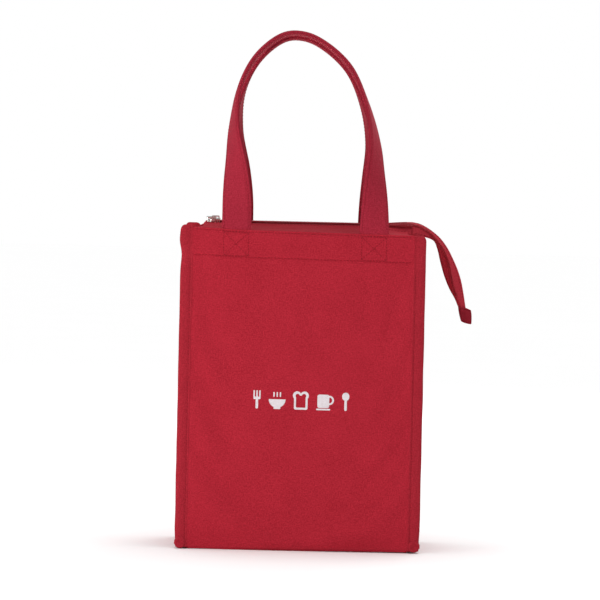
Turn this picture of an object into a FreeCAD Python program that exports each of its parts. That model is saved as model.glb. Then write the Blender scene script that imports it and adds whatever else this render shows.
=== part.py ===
"""Insulated lunch bag with a zipped top, two carrying straps and a hanging zip tail.

Frame: millimetres, +Z up, +X to the right as the printed front is seen, -Y out of that front.
The origin is the middle of the flat base, at the surface that the bag stands on.
"""

import FreeCAD, Part
import math
import os

from FreeCAD import Rotation, Vector

# Outer shell
PANEL_WIDTH = 209.0  # front panel between its side seams
BAG_HEIGHT = 301.0  # floor to the folded top edge
BAG_DEPTH = 115.0  # outside of the front to outside of the back
FABRIC = 1.2  # red woven polyester with its backing
FOAM = 3.5  # closed-cell insulation
FOIL = 0.4  # silver lining
HEM_DEPTH = 24.0  # folded band round the mouth
HEM_DROP = 1.0  # from the mouth's edge down to the band's top
FOAM_DROP = 1.5  # and down to the foam's
LINING_DROP = 3.0  # and down to the lining's

# Bound seams that stand out at the four upright edges and under the two sides
BINDING_REACH = 10.8
BINDING_THICK = 4.5
BINDING_GAP = 0.15
EAR_RADIUS = 5.2  # where the binding turns the bottom corner

# Straps
STRAP_WIDTH = 27.5
STRAP_THICK = 4.5
STRAP_END_THICK = 3.3  # pressed flat where it is sewn in
STRAP_SHIFT = 1.4  # middle of the strap pair, right of the bag's middle
STRAP_SPACING = 129.6  # between the two legs of a strap
STRAP_GAP = 0.5  # each strap's edge at the top, from the bag's middle plane
BACK_STRAP_DROP = 2.8  # the back strap's crown is a little lower
BACK_STRAP_NARROWING = 0.045  # and its arch a little narrower at the crown
STRAP_SECTIONS = 44
NOTCH_ROOM = 0.3  # foam is cut back this far each side of a sewn strap end

# Zip
ZIP_HEIGHT = 308.0  # middle of the zip tape
ZIP_TILT = 10.0  # the back tape is the higher one, degrees
TAPE_THICK = 0.5
TAPE_REACH = 7.6  # tape that shows each side of the teeth
FACING_EDGE = 8.0
COIL_WIDTH = 2.8
COIL_HEIGHT = 1.8
FLAP_LEFT = -96.0
FLAP_RIGHT = 80.0
ZIP_END = 103.8
SLIDER_X = -85.0  # slider's middle with the zip closed
SLIDER_LENGTH = 9.8
SLIDER_WIDTH = 9.5
POST_REACH = 1.9  # the slider's post ends this far left of its middle
SLIDER_FLOOR = (-1.75, -0.55)  # heights of the lower plate, from the tape's middle
SLIDER_ROOF = (2.4, 3.5)
CROWN_TOP = 6.3
STOP_LENGTH = 2.2
STOP_ROOM = 0.4  # between the slider and the stops when the zip is closed
END_GAP = 0.4  # between the flaps and the fixed right-hand end

# Zip tail
TAB_THICK = 5.0
TAIL_TAPE_THICK = 2.2  # two folded layers

# Thread and print
THREAD = 0.3
PRINT_THICK = 0.15
PRINT_HEIGHT = 17.2
PRINT_CENTRE = (1.4, 142.0)

half_w = PANEL_WIDTH / 2
half_d = BAG_DEPTH / 2
foam_in = FABRIC + FOAM  # outer face to the foam's inner face
skin_in = foam_in + FOIL  # outer face to the lining's inner face
hem_in = skin_in + FABRIC  # outer face to the hem band's inner face
hem_top = BAG_HEIGHT - HEM_DROP
hem_low = BAG_HEIGHT - HEM_DEPTH - HEM_DROP
foot_z = BAG_HEIGHT + 0.5
strap_mid_y = -(half_d - FABRIC - STRAP_THICK / 2)
leg_x = [STRAP_SHIFT - STRAP_SPACING / 2, STRAP_SHIFT + STRAP_SPACING / 2]

pieces = {}


def block(x, y, z):
    """A box from three (low, high) pairs."""
    (x0, x1), (y0, y1), (z0, z1) = (sorted(pair) for pair in (x, y, z))
    return Part.makeBox(x1 - x0, y1 - y0, z1 - z0, Vector(x0, y0, z0))


def mirrored(shape, axis):
    """The same shape on the other side of the bag's middle plane."""
    return shape.mirror(Vector(0, 0, 0), axis)


ACROSS = Vector(1, 0, 0)
THROUGH = Vector(0, 1, 0)


def front_and_back(name, shape):
    """A front piece and its twin at the back."""
    pieces["front_" + name] = shape
    pieces["back_" + name] = mirrored(shape, THROUGH)


def left_and_right(name, shape):
    """A left piece and its twin at the right."""
    pieces["left_" + name] = shape
    pieces["right_" + name] = mirrored(shape, ACROSS)


def outer_shell():
    """Five fabric panels: front, back, two side gussets and the base."""
    front_and_back("panel", block((-half_w, half_w), (-half_d, -half_d + FABRIC), (FABRIC, BAG_HEIGHT)))
    inner_y = half_d - FABRIC
    left_and_right("gusset", block((-half_w, -half_w + FABRIC), (-inner_y, inner_y), (FABRIC, BAG_HEIGHT)))
    pieces["base_panel"] = block((-half_w, half_w), (-half_d, half_d), (0, FABRIC))


def insulation():
    """Foam sheets between the fabric and the lining, notched at the front and back for the strap ends."""
    foam_x = half_w - FABRIC
    foam_y = half_d - FABRIC
    top = BAG_HEIGHT - FOAM_DROP
    sheet = block((-foam_x, foam_x), (-foam_y, -foam_y + FOAM), (foam_in, top))
    notch_half = STRAP_WIDTH / 2 + NOTCH_ROOM
    for x in leg_x:
        sheet = sheet.cut(block((x - notch_half, x + notch_half), (-foam_y, -foam_y + FOAM), (hem_low, top)))
    front_and_back("foam", sheet)
    side_y = half_d - foam_in
    left_and_right("foam", block((-foam_x, -foam_x + FOAM), (-side_y, side_y), (foam_in, top)))
    pieces["base_foam"] = block((-foam_x, foam_x), (-foam_y, foam_y), (FABRIC, foam_in))


def lining():
    """Welded foil-faced sheets that line the compartment."""
    lining_x = half_w - foam_in
    lining_y = half_d - foam_in
    top = BAG_HEIGHT - LINING_DROP
    front_and_back("lining", block((-lining_x, lining_x), (-lining_y, -lining_y + FOIL), (skin_in, top)))
    side_y = lining_y - FOIL
    left_and_right("lining", block((-lining_x, -lining_x + FOIL), (-side_y, side_y), (skin_in, top)))
    pieces["base_lining"] = block((-lining_x, lining_x), (-lining_y, lining_y), (foam_in, skin_in))


def hem_bands():
    """The fabric turned in round the mouth, over the top of the lining."""
    band_x = half_w - skin_in
    band_y = half_d - skin_in
    z = (hem_low, hem_top)
    front_and_back("hem_band", block((-band_x + FABRIC, band_x - FABRIC), (-band_y, -band_y + FABRIC), z))
    left_and_right("hem_band", block((-band_x, -band_x + FABRIC), (-band_y, band_y), z))


def bindings():
    """Folded tape over the seam edges: four uprights with ears at the floor, and two runs under the sides."""
    inner = half_w + BINDING_GAP
    outer = inner + BINDING_REACH
    y = (-half_d - 0.1, -half_d - 0.1 + BINDING_THICK)
    upright = block((-outer, -inner), y, (0.8, BAG_HEIGHT + 1))
    upright = upright.makeFillet(1.6, [edge for edge in upright.Edges if abs(edge.tangentAt(0).z) > 0.9])
    ear_centre = Vector(-outer + EAR_RADIUS - 0.6, -half_d - 0.8, EAR_RADIUS + 0.4)
    ear_length = BINDING_THICK + 4.0
    ear = Part.makeCylinder(EAR_RADIUS, ear_length, ear_centre, THROUGH)
    ear = ear.makeFillet(1.5, [edge for edge in ear.Edges if edge.Curve.TypeId == "Part::GeomCircle"])
    left_front = upright.fuse(ear).removeSplitter()
    run_end = half_d + 0.8 - ear_length - 0.2
    run = block((-outer + 1, -inner), (-run_end, run_end), (0.8, 0.8 + BINDING_THICK))
    run = run.makeFillet(1.4, [edge for edge in run.Edges if abs(edge.tangentAt(0).y) > 0.9])
    for side, across in (("left", False), ("right", True)):
        front = mirrored(left_front, ACROSS) if across else left_front
        front_and_back(side + "_binding", front)
    left_and_right("base_binding", run)


def smooth_line(points):
    """A spline through a few (x, z) points, laid in the XZ plane."""
    curve = Part.BSplineCurve()
    curve.interpolate([Vector(x, 0, z) for x, z in points])
    return curve


# Middle line of the front strap's arch, seen from the front: foot, leg, shoulder, crown, shoulder, leg, foot.
ARCH = [
    (leg_x[0], foot_z - 1),
    (-63.6, 325),
    (-65.4, 360),
    (-68.2, 400),
    (-63, 438),
    (-46.6, 468.8),
    (-22.4, 487.4),
    (-3, 488.2),
    (16.7, 479.4),
    (40.3, 457.6),
    (56.5, 423.5),
    (65, 388),
    (66.2, 352),
    (leg_x[1], foot_z - 1),
]
CROWN_Z = 489.0
CROWN_Y = -(STRAP_GAP + STRAP_WIDTH / 2)
EDGE_ON_Z = 460.0  # above this height the strap is turned edge-on
TWIST_STARTS = {"left": (320.0, 1.85), "right": (300.0, 1.8)}  # height, and how early the turn comes


def strap_turn(x, z):
    """How far the strap has turned from face-on to edge-on, in degrees, at a point of its arch."""
    start, early = TWIST_STARTS["left" if x < STRAP_SHIFT else "right"]
    share = min(1.0, max(0.0, (EDGE_ON_Z - z) / (EDGE_ON_Z - start)))
    return 90.0 * (1 - share**early)


def strap_section(curve, at, drop, narrowing):
    """The strap's rectangle at one place on the arch, as a closed wire."""
    rise = CROWN_Z - foot_z
    slope = (CROWN_Y - strap_mid_y) / rise
    point = curve.value(at)
    tangent = curve.tangent(at)[0]
    share = (point.z - foot_z) / rise
    x = STRAP_SHIFT + (point.x - STRAP_SHIFT) * (1 - narrowing * share)
    centre = Vector(x, strap_mid_y + slope * rise * share, foot_z + (rise - drop) * share)
    along = Vector(tangent.x, slope * tangent.z, tangent.z).normalize()
    lean = math.atan(slope) * (1 - share)
    outwards = Vector(0, -math.cos(lean), math.sin(lean))
    radial = outwards.cross(along).normalize()
    turn = math.radians(strap_turn(point.x, point.z))
    face = outwards * math.cos(turn) + radial * math.sin(turn)
    face = (face - along * face.dot(along)).normalize()
    width = along.cross(face).normalize() * (STRAP_WIDTH / 2)
    thick = face * (STRAP_THICK / 2)
    corners = [centre + width + thick, centre - width + thick, centre - width - thick, centre + width - thick]
    return Part.makePolygon(corners + corners[:1])


def strap(drop, narrowing):
    """One carrying strap above the bag's mouth, turning from face-on at its feet to edge-on at its crown."""
    curve = smooth_line(ARCH)
    first, last = curve.FirstParameter, curve.LastParameter
    steps = [first + (last - first) * i / (STRAP_SECTIONS - 1) for i in range(STRAP_SECTIONS)]
    arch = Part.makeLoft([strap_section(curve, at, drop, narrowing) for at in steps], True, True)
    return arch.cut(block((-half_w, half_w), (-half_d - 5, half_d), (foot_z - 10, foot_z)))


def straps():
    """Both straps, and their ends sewn between the panel and the hem band."""
    pieces["front_strap"] = strap(0, 0)
    pieces["back_strap"] = mirrored(strap(BACK_STRAP_DROP, BACK_STRAP_NARROWING), THROUGH)
    half = STRAP_WIDTH / 2
    y = (-half_d + FABRIC + 0.1, -half_d + FABRIC + 0.1 + STRAP_END_THICK)
    ends = [block((x - half, x + half), y, (BAG_HEIGHT - HEM_DEPTH - 0.5, BAG_HEIGHT - 0.2)) for x in leg_x]
    front_and_back("strap_ends", Part.makeCompound(ends))


def zip_placed(shape):
    """Moves a shape from the zip's own frame (origin on the tape's middle line) to the bag."""
    placed = shape.copy()
    zip_frame = FreeCAD.Placement(Vector(0, 0, ZIP_HEIGHT), Rotation(ACROSS, ZIP_TILT))
    placed.Placement = zip_frame.multiply(shape.Placement)
    return placed


def zip_point(y, z):
    """A point of the zip's own frame, in the bag's frame, as (y, z)."""
    tilt = math.radians(ZIP_TILT)
    return y * math.cos(tilt) - z * math.sin(tilt), ZIP_HEIGHT + y * math.sin(tilt) + z * math.cos(tilt)


FLAP_PIVOT = (half_d - hem_in - 0.9, BAG_HEIGHT - 0.7)  # (distance from the middle plane, height)


def facing(side, x0, x1):
    """One fabric strip from the hem to the zip, rounded at its fold line. side is -1 front, 1 back."""
    edge_y, edge_z = zip_point(side * FACING_EDGE, TAPE_THICK / 2 + FABRIC / 2)
    root = Vector(0, side * FLAP_PIVOT[0], FLAP_PIVOT[1])
    tip = Vector(0, edge_y, edge_z)
    across = (tip - root).normalize()
    up = Vector(1, 0, 0).cross(across) * (FABRIC / 2)
    corners = [root + up, tip + up, tip - up, root - up]
    wire = Part.makePolygon(corners + corners[:1])
    strip = Part.Face(wire).extrude(Vector(x1 - x0, 0, 0))
    root_roll = Part.makeCylinder(FABRIC / 2, x1 - x0, root, Vector(1, 0, 0))
    strip = strip.fuse(root_roll).removeSplitter()
    strip.translate(Vector(x0, 0, 0))
    return strip


def tape(side, x0, x1, parted_to):
    """Zip tape on one side of the teeth. Left of parted_to the tapes stand apart round the slider's post."""
    z = (-TAPE_THICK / 2, TAPE_THICK / 2)
    closed = block((parted_to, x1), (side * 0.2, side * TAPE_REACH), z)
    if x0 >= parted_to:
        return closed
    return closed.fuse(block((x0, parted_to), (side * 1.5, side * TAPE_REACH), z)).removeSplitter()


def coil(side, x0, x1):
    """The outer shape of one side's nylon teeth, which stand on the tape's inner edge."""
    low = TAPE_THICK / 2
    return block((x0, x1), (side * 0.1, side * (0.1 + COIL_WIDTH)), (low, low + COIL_HEIGHT))


def closure():
    """Facings, tapes, teeth and stops of both flaps, and the fixed end that the slider parks on."""
    meet = SLIDER_X - POST_REACH + 0.1  # the teeth are closed right of the slider's post
    stop_right = SLIDER_X - SLIDER_LENGTH / 2 - STOP_ROOM
    for name, side in (("front", -1), ("back", 1)):
        pieces[name + "_zip_facing"] = facing(side, FLAP_LEFT, FLAP_RIGHT)
        pieces[name + "_zip_tape"] = zip_placed(tape(side, FLAP_LEFT, FLAP_RIGHT, meet))
        pieces[name + "_zip_teeth"] = zip_placed(coil(side, meet, FLAP_RIGHT))
        stop = block((stop_right - STOP_LENGTH, stop_right), (side * 1.6, side * 4.2), (0.25, 2.15))
        pieces[name + "_top_stop"] = zip_placed(stop.makeFillet(0.5, stop.Edges))
        pieces[name + "_end_facing"] = facing(side, FLAP_RIGHT + END_GAP, half_w - hem_in - END_GAP)
    start = FLAP_RIGHT + END_GAP
    fixed_tape = [tape(side, start, ZIP_END, start) for side in (-1, 1)]
    fixed_teeth = [coil(side, start, ZIP_END) for side in (-1, 1)]
    pieces["zip_end_tape"] = zip_placed(Part.makeCompound(fixed_tape))
    pieces["zip_end_teeth"] = zip_placed(Part.makeCompound(fixed_teeth))


PIVOT_X = 0.3  # the pull tab's bar, from the slider's middle
PIVOT_Z = 4.4
TAB_REACH = 8.6  # from the bar to the pull tab's far end


def slider_outline(z0, z1):
    """The slider's shield-shaped plate, wide at the open end, between two heights."""
    half_l, wide, narrow = SLIDER_LENGTH / 2, SLIDER_WIDTH / 2, SLIDER_WIDTH / 2 - 0.9
    corners = [(-half_l, -wide), (0, -wide), (half_l, -narrow), (half_l, narrow), (0, wide), (-half_l, wide)]
    points = [Vector(x, y, z0) for x, y in corners]
    plate = Part.Face(Part.makePolygon(points + points[:1])).extrude(Vector(0, 0, z1 - z0))
    upright = [edge for edge in plate.Edges if abs(edge.tangentAt(0).z) > 0.9]
    return plate.makeFillet(1.3, upright)


def slider():
    """Cast slider body, its crown, and the pull tab lying towards the closed end."""
    floor = slider_outline(*SLIDER_FLOOR)
    roof = slider_outline(*SLIDER_ROOF)
    flanges = slider_outline(0.65, SLIDER_ROOF[0]).cut(block((-10, 10), (-3.4, 3.4), (0.6, 2.5)))
    post = block((-4.5, -POST_REACH), (-1.1, 1.1), (-0.6, 2.45))
    post = post.makeFillet(0.7, [edge for edge in post.Edges if abs(edge.tangentAt(0).z) > 0.9])
    body = floor.fuse([roof, flanges, post]).removeSplitter()
    crown = block((-3.4, 4.0), (-1.0, 1.0), (SLIDER_ROOF[1], CROWN_TOP))
    shoulders = [edge for edge in crown.Edges if abs(edge.tangentAt(0).y) > 0.9 and edge.CenterOfMass.z > 5]
    crown = crown.makeFillet(1.2, shoulders)
    crown = crown.cut(block((-2.4, 3.0), (-2, 2), (3.4, 5.3)))
    bar = Part.makeCylinder(0.6, 6.0, Vector(PIVOT_X, -3.0, PIVOT_Z), THROUGH)
    plate = block((PIVOT_X - TAB_REACH, PIVOT_X), (-3.2, 3.2), (PIVOT_Z - 0.6, PIVOT_Z + 0.6))
    corners = [edge for edge in plate.Edges if abs(edge.tangentAt(0).z) > 0.9]
    plate = plate.makeFillet(1.5, [edge for edge in corners if edge.CenterOfMass.x < -5])
    window = block((PIVOT_X - 4.7, PIVOT_X + 1), (-1.6, 1.6), (0, 10))
    tab = plate.cut(window).fuse(bar).removeSplitter()
    for name, shape in (("slider_body", body), ("slider_crown", crown), ("pull_tab", tab)):
        shape.translate(Vector(SLIDER_X, 0, 0))
        pieces[name] = zip_placed(shape)


# Upper and lower edges of the hanging zip tail, from the bag's corner to inside the end tab, and its teeth.
TAIL_OUTER = [(104.8, 310), (118, 307.5), (131, 297.5), (141, 281.5), (147.5, 266), (153, 249), (157.3, 229)]
TAIL_INNER = [(150.5, 229), (141.5, 243), (134.5, 259), (131, 276), (127.5, 289), (119, 296.5), (104.8, 298)]
TAIL_TOOTH_LINE = [(105, 304), (119, 302), (129, 293.5), (136, 279), (140.5, 262), (146, 246), (150.6, 236.5)]
TAB_CORNERS = [(148.6, 233.4), (162.3, 229.4), (162.9, 214.6), (152, 217.4)]


def side_points(points, offset):
    """A row of (x, z) points moved sideways from their own line."""
    moved = []
    for i, (x, z) in enumerate(points):
        before = points[max(i - 1, 0)]
        after = points[min(i + 1, len(points) - 1)]
        run = Vector(after[0] - before[0], 0, after[1] - before[1]).normalize()
        moved.append((x - run.z * offset, z + run.x * offset))
    return moved


def ribbon(outer, inner, y0, y1):
    """A flat piece in the XZ plane between two splines that run opposite ways."""
    ends = [(outer[-1], inner[0]), (inner[-1], outer[0])]
    joins = [Part.makeLine(Vector(a[0], 0, a[1]), Vector(b[0], 0, b[1])) for a, b in ends]
    outline = Part.Wire([smooth_line(outer).toShape(), joins[0], smooth_line(inner).toShape(), joins[1]])
    flat = Part.Face(outline).extrude(Vector(0, y1 - y0, 0))
    flat.translate(Vector(0, y0, 0))
    return flat


def tail():
    """The free end of the closed zip, its teeth and the folded fabric tab that finishes it."""
    front = -0.5
    strip = ribbon(TAIL_OUTER, TAIL_INNER, front, front + TAIL_TAPE_THICK)
    pieces["zip_tail_tape"] = strip
    teeth_outer = side_points(TAIL_TOOTH_LINE, COIL_WIDTH)
    teeth_inner = side_points(TAIL_TOOTH_LINE, -COIL_WIDTH)[::-1]
    pieces["zip_tail_teeth"] = ribbon(teeth_outer, teeth_inner, front - 0.1 - COIL_HEIGHT, front - 0.1)
    corners = [Vector(x, -TAB_THICK / 2, z) for x, z in TAB_CORNERS]
    tab = Part.Face(Part.makePolygon(corners + corners[:1])).extrude(Vector(0, TAB_THICK, 0))
    tab = tab.makeFillet(1.8, [edge for edge in tab.Edges if abs(edge.tangentAt(0).y) > 0.9])
    pieces["zip_tail_tab"] = tab.cut(strip)


def thread_bar(a, b):
    """A straight run of thread on the front panel, between two (x, z) points."""
    start = Vector(a[0], -half_d - THREAD, a[1])
    run = Vector(b[0], -half_d - THREAD, b[1]) - start
    bar = Part.makeBox(run.Length, THREAD, THREAD, Vector(0, 0, -THREAD / 2))
    bar.Placement = FreeCAD.Placement(start, Rotation(ACROSS, run))
    return bar


HEM_ROWS = [BAG_HEIGHT - 1.8, BAG_HEIGHT - 26.0]
BOX_HALF = 11.5


def threads():
    """Two rows of topstitching round the mouth, and the crossed squares that hold the strap ends."""
    reach = half_w - 1.5
    squares = []
    for x in leg_x:
        squares.append((x - BOX_HALF, x + BOX_HALF, HEM_ROWS[1] + 0.8, HEM_ROWS[0] - 0.8))
    front_and_back("hem_thread", Part.makeCompound([thread_bar((-reach, z), (reach, z)) for z in HEM_ROWS]))
    bars = []
    for x0, x1, z0, z1 in squares:
        outline = [(x0, z0), (x1, z0), (x1, z1), (x0, z1), (x0, z0)]
        runs = list(zip(outline, outline[1:])) + [((x0, z0), (x1, z1)), ((x0, z1), (x1, z0))]
        square = thread_bar(*runs[0])
        bars.append(square.fuse([thread_bar(*run) for run in runs[1:]]).removeSplitter())
    front_and_back("crossed_square_thread", Part.makeCompound(bars))
    side_y = half_d - 5.5
    rows = []
    for z in HEM_ROWS:
        rows.append(block((-half_w - THREAD, -half_w), (-side_y, side_y), (z - THREAD / 2, z + THREAD / 2)))
    left_and_right("hem_thread", Part.makeCompound(rows))


def disc(x, z, radius):
    """A flat disc of print."""
    return Part.makeCylinder(radius, PRINT_THICK, Vector(x, -half_d - PRINT_THICK, z), THROUGH)


def patch(x0, x1, z0, z1, rounding=0.0):
    """A flat rectangle of print, with rounded corners if asked."""
    flat = block((x0, x1), (-half_d - PRINT_THICK, -half_d), (z0, z1))
    if rounding:
        flat = flat.makeFillet(rounding, [edge for edge in flat.Edges if abs(edge.tangentAt(0).y) > 0.9])
    return flat


def printed_row():
    """A row of five plain mealtime signs: fork, bowl, slice of bread, cup and spoon."""
    top = PRINT_HEIGHT / 2
    handle = patch(-1.2, 1.2, -top, 2.5, 1.1)
    tines = [patch(x - 0.65, x + 0.65, 1.5, top, 0.6) for x in (-2.7, 0, 2.7)]
    fork = handle.fuse(tines + [patch(-3.35, 3.35, 0.2, 2.6, 1.0)])
    steam = [patch(x - 0.6, x + 0.6, 2.8, 7.4, 0.55) for x in (-3, 0, 3)]
    bowl = disc(0, 0.6, 7.9).common(patch(-8, 8, -7.3, 0.6)).fuse(patch(-3.2, 3.2, -top, -6.4, 0.6))
    bowl = Part.makeCompound([bowl.removeSplitter()] + steam)
    crust = patch(-6.4, 6.4, -top, 5.5, 1.4).fuse([disc(-3.5, 4.6, 4.0), disc(3.5, 4.6, 4.0)])
    crumb = patch(-4.5, 4.5, -top + 1.9, 4.2, 0.9).fuse([disc(-3.0, 4.3, 2.0), disc(3.0, 4.3, 2.0)])
    bread = crust.cut(crumb.fuse(patch(-3.1, 3.1, 3, 4.6)))
    ring = disc(4.6, 0.9, 4.4).cut(disc(4.6, 0.9, 2.7)).cut(patch(-6, 4.4, -9, 9))
    cup = patch(-6.6, 4.6, -6.4, 6.2, 2.0).fuse([ring, patch(-7.6, 5.6, -top, -7.1, 0.7)])
    spoon_bowl = disc(0, 4.7, 3.4).fuse([disc(0, 5.2, 3.4), disc(0, 4.2, 3.3)])
    spoon = patch(-1.2, 1.2, -top, 3, 1.1).fuse(spoon_bowl)
    signs = []
    for x, sign in zip((-42, -23, -0.7, 21.5, 41.5), (fork, bowl, bread, cup, spoon)):
        sign.translate(Vector(PRINT_CENTRE[0] + x, 0, PRINT_CENTRE[1]))
        signs.extend(sign.removeSplitter().Solids)
    pieces["front_print"] = Part.makeCompound(signs)


def main():
    for build in (outer_shell, insulation, lining, hem_bands, bindings, straps, closure, slider, tail):
        build()
    threads()
    printed_row()
    os.makedirs("parts", exist_ok=True)
    for name, shape in pieces.items():
        if not shape.isValid() or not shape.Solids or any(solid.Volume <= 0 for solid in shape.Solids):
            raise ValueError(name + " is not a valid solid")
        shape.exportStep("parts/" + name + ".step")
    print(len(pieces), "pieces")


main()
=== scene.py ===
import math
from collections import namedtuple

import bmesh
import bpy
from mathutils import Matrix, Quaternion, Vector, noise


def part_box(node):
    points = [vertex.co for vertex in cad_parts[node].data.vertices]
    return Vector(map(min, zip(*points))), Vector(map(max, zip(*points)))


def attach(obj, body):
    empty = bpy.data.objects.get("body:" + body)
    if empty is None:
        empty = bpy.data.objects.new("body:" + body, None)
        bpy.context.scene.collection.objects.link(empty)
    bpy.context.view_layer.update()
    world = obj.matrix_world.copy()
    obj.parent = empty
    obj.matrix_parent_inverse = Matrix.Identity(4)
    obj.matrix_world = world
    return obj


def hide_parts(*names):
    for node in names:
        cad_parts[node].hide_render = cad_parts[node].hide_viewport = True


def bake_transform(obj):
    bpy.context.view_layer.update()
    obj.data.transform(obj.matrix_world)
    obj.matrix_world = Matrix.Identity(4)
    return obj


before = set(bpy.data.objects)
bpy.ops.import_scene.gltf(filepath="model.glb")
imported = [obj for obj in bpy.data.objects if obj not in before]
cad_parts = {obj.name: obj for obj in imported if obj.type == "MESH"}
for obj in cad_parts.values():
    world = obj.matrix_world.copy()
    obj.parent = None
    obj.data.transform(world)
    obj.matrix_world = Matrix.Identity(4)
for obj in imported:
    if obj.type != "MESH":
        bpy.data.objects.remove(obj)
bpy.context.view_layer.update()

scene = bpy.context.scene

# Sizes. Everything is in metres; the bag's own sizes come from the frame.
MM = 0.001
panel_low, panel_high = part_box("front_panel")
band_low, band_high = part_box("front_hem_band")
foam_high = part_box("front_foam")[1]
base_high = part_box("base_foam")[1]
HALF_W = panel_high.x
HALF_D = -panel_low.y
TOP = panel_high.z
CLOTH = panel_high.y - panel_low.y
FOAM_IN = foam_high.y + HALF_D  # depth of the foam's inner face, from the outside
FOIL = 0.4 * MM
HEM_IN = band_high.y + HALF_D  # depth of the hem's inner face
HEM_LOW = band_low.z
FLOOR_PLY = base_high.z  # height of the base foam's upper face
MOUTH_SLOPE = 0.0125  # the left end of the mouth stands a little higher
HEM_ROWS = (TOP - 2.2 * MM, TOP - 25.7 * MM)
UP = Vector((0, 0, 1))


def smooth(share):
    """A soft step from 0 to 1."""
    share = min(1.0, max(0.0, share))
    return share * share * (3 - 2 * share)


def bell(offset, spread):
    """A round bump of height 1 that fades within about two spreads."""
    return math.exp(-((offset / spread) ** 2))


def ripple(x, y, seed):
    """Slow unevenness between about -1 and 1."""
    return noise.noise(Vector((x, y, seed)))


# ---------------------------------------------------------------- finishes


class Value:
    """A shader socket that takes part in ordinary sums."""

    def __init__(self, finish, socket):
        self.finish = finish
        self.socket = socket

    def join(self, operation, first, second):
        return self.finish.add("ShaderNodeMath", {"operation": operation}, {0: first, 1: second})

    def __add__(self, other):
        return self.join("ADD", self, other)

    def __sub__(self, other):
        return self.join("SUBTRACT", self, other)

    def __rsub__(self, other):
        return self.join("SUBTRACT", other, self)

    def __mul__(self, other):
        return self.join("MULTIPLY", self, other)

    def __pow__(self, other):
        return self.join("POWER", self, other)

    __radd__ = __add__
    __rmul__ = __mul__


class Finish:
    """A material built from named steps on one Principled shader."""

    def __init__(self, name, **uniform):
        self.material = bpy.data.materials.new(name)
        self.material.use_nodes = True
        self.tree = self.material.node_tree
        self.shader = self.tree.nodes["Principled BSDF"]
        for socket, value in uniform.items():
            self.shader.inputs[socket.replace("_", " ").title().replace("Ior", "IOR")].default_value = value

    def add(self, kind, settings=None, sockets=None, output=0):
        node = self.tree.nodes.new(kind)
        for key, value in (settings or {}).items():
            setattr(node, key, value)
        for key, value in (sockets or {}).items():
            self.feed(node.inputs[key], value)
        return Value(self, node.outputs[output])

    def feed(self, socket, value):
        if isinstance(value, Value):
            self.tree.links.new(value.socket, socket)
        else:
            socket.default_value = value

    def wave(self, value):
        return self.add("ShaderNodeMath", {"operation": "SINE"}, {0: value})

    def size(self, value):
        return self.add("ShaderNodeMath", {"operation": "ABSOLUTE"}, {0: value})

    def cloth_place(self):
        """Metres along and across the cloth."""
        place = self.add("ShaderNodeUVMap", {"uv_map": "cloth"})
        along = self.add("ShaderNodeSeparateXYZ", {}, {0: place}, 0)
        across = Value(self, along.socket.node.outputs[1])
        return place, along, across

    def solid_place(self):
        """The point's own place in the object, in metres."""
        return self.add("ShaderNodeTexCoord", {}, {}, 3)

    def cloud(self, place, scale, detail=3.0, roughness=0.55):
        """Soft random blotches from 0 to 1, scale per metre."""
        sockets = {"Vector": place, "Scale": scale, "Detail": detail, "Roughness": roughness}
        return self.add("ShaderNodeTexNoise", {}, sockets)

    def streaks(self, place, along, across):
        """Random streaks, with their own scale per metre each way."""
        stretched = self.add("ShaderNodeMapping", {}, {"Vector": place, "Scale": (along, across, 1)})
        return self.cloud(stretched, 1.0, 2.0)

    def shades(self, share, dark, light):
        """A colour between two, by a share from 0 to 1."""
        sockets = {0: share, 6: (*dark, 1), 7: (*light, 1)}
        return self.add("ShaderNodeMix", {"data_type": "RGBA"}, sockets, 2)

    def clamp(self, value):
        return self.add("ShaderNodeClamp", {}, {"Value": value})

    def bump(self, height, distance, strength=1.0, under=None):
        sockets = {"Height": height, "Distance": distance, "Strength": strength}
        if under is not None:
            sockets["Normal"] = under
        return self.add("ShaderNodeBump", {}, sockets)

    def finish(self, colour, roughness, normal=None):
        self.feed(self.shader.inputs["Base Color"], colour)
        self.feed(self.shader.inputs["Roughness"], roughness)
        if normal is not None:
            self.feed(self.shader.inputs["Normal"], normal)
        return self.material


def woven(name, dark, light, pitch, depth, rib=1.0, fuzz=0.06):
    """A plain weave: threads that pass over each other, uneven in thickness and dye, worn pale on edges."""
    cloth = Finish(name, sheen_weight=fuzz, sheen_roughness=0.5, specular_ior_level=0.12)
    cloth.shader.inputs["Sheen Tint"].default_value = (1.0, 0.35, 0.4, 1)
    place, along, across = cloth.cloth_place()
    turn = math.pi / pitch
    warp = cloth.wave(along * turn)
    weft = cloth.wave(across * (turn * rib))
    over = warp * weft * 0.5 + 0.5
    threads = over * cloth.size(warp) + (1 - over) * cloth.size(weft)
    slubs = cloth.streaks(place, 1500, 260) * 0.5 + cloth.streaks(place, 260, 1500) * 0.5
    dye = cloth.cloud(place, 28, 4.0, 0.6)
    grain = cloth.cloud(place, 760, 2.0, 0.6)
    pointiness = cloth.add("ShaderNodeNewGeometry", {}, {}, 7)
    wear = cloth.clamp((pointiness - 0.52) * 4.0)
    share = dye * 0.5 + (grain + slubs) * 2.0 + threads * 0.2 + wear * 0.35 - 1.87
    colour = cloth.shades(cloth.clamp(share), dark, light)
    rough = cloth.clamp(0.76 + grain * 0.2)
    lumps = cloth.bump(cloth.cloud(place, 60, 2.0), 0.5 * MM, 0.2)
    fine = cloth.bump(threads * 0.8 + slubs * 1.2, depth, 0.8, lumps)
    return cloth.finish(colour, rough, fine)


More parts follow.
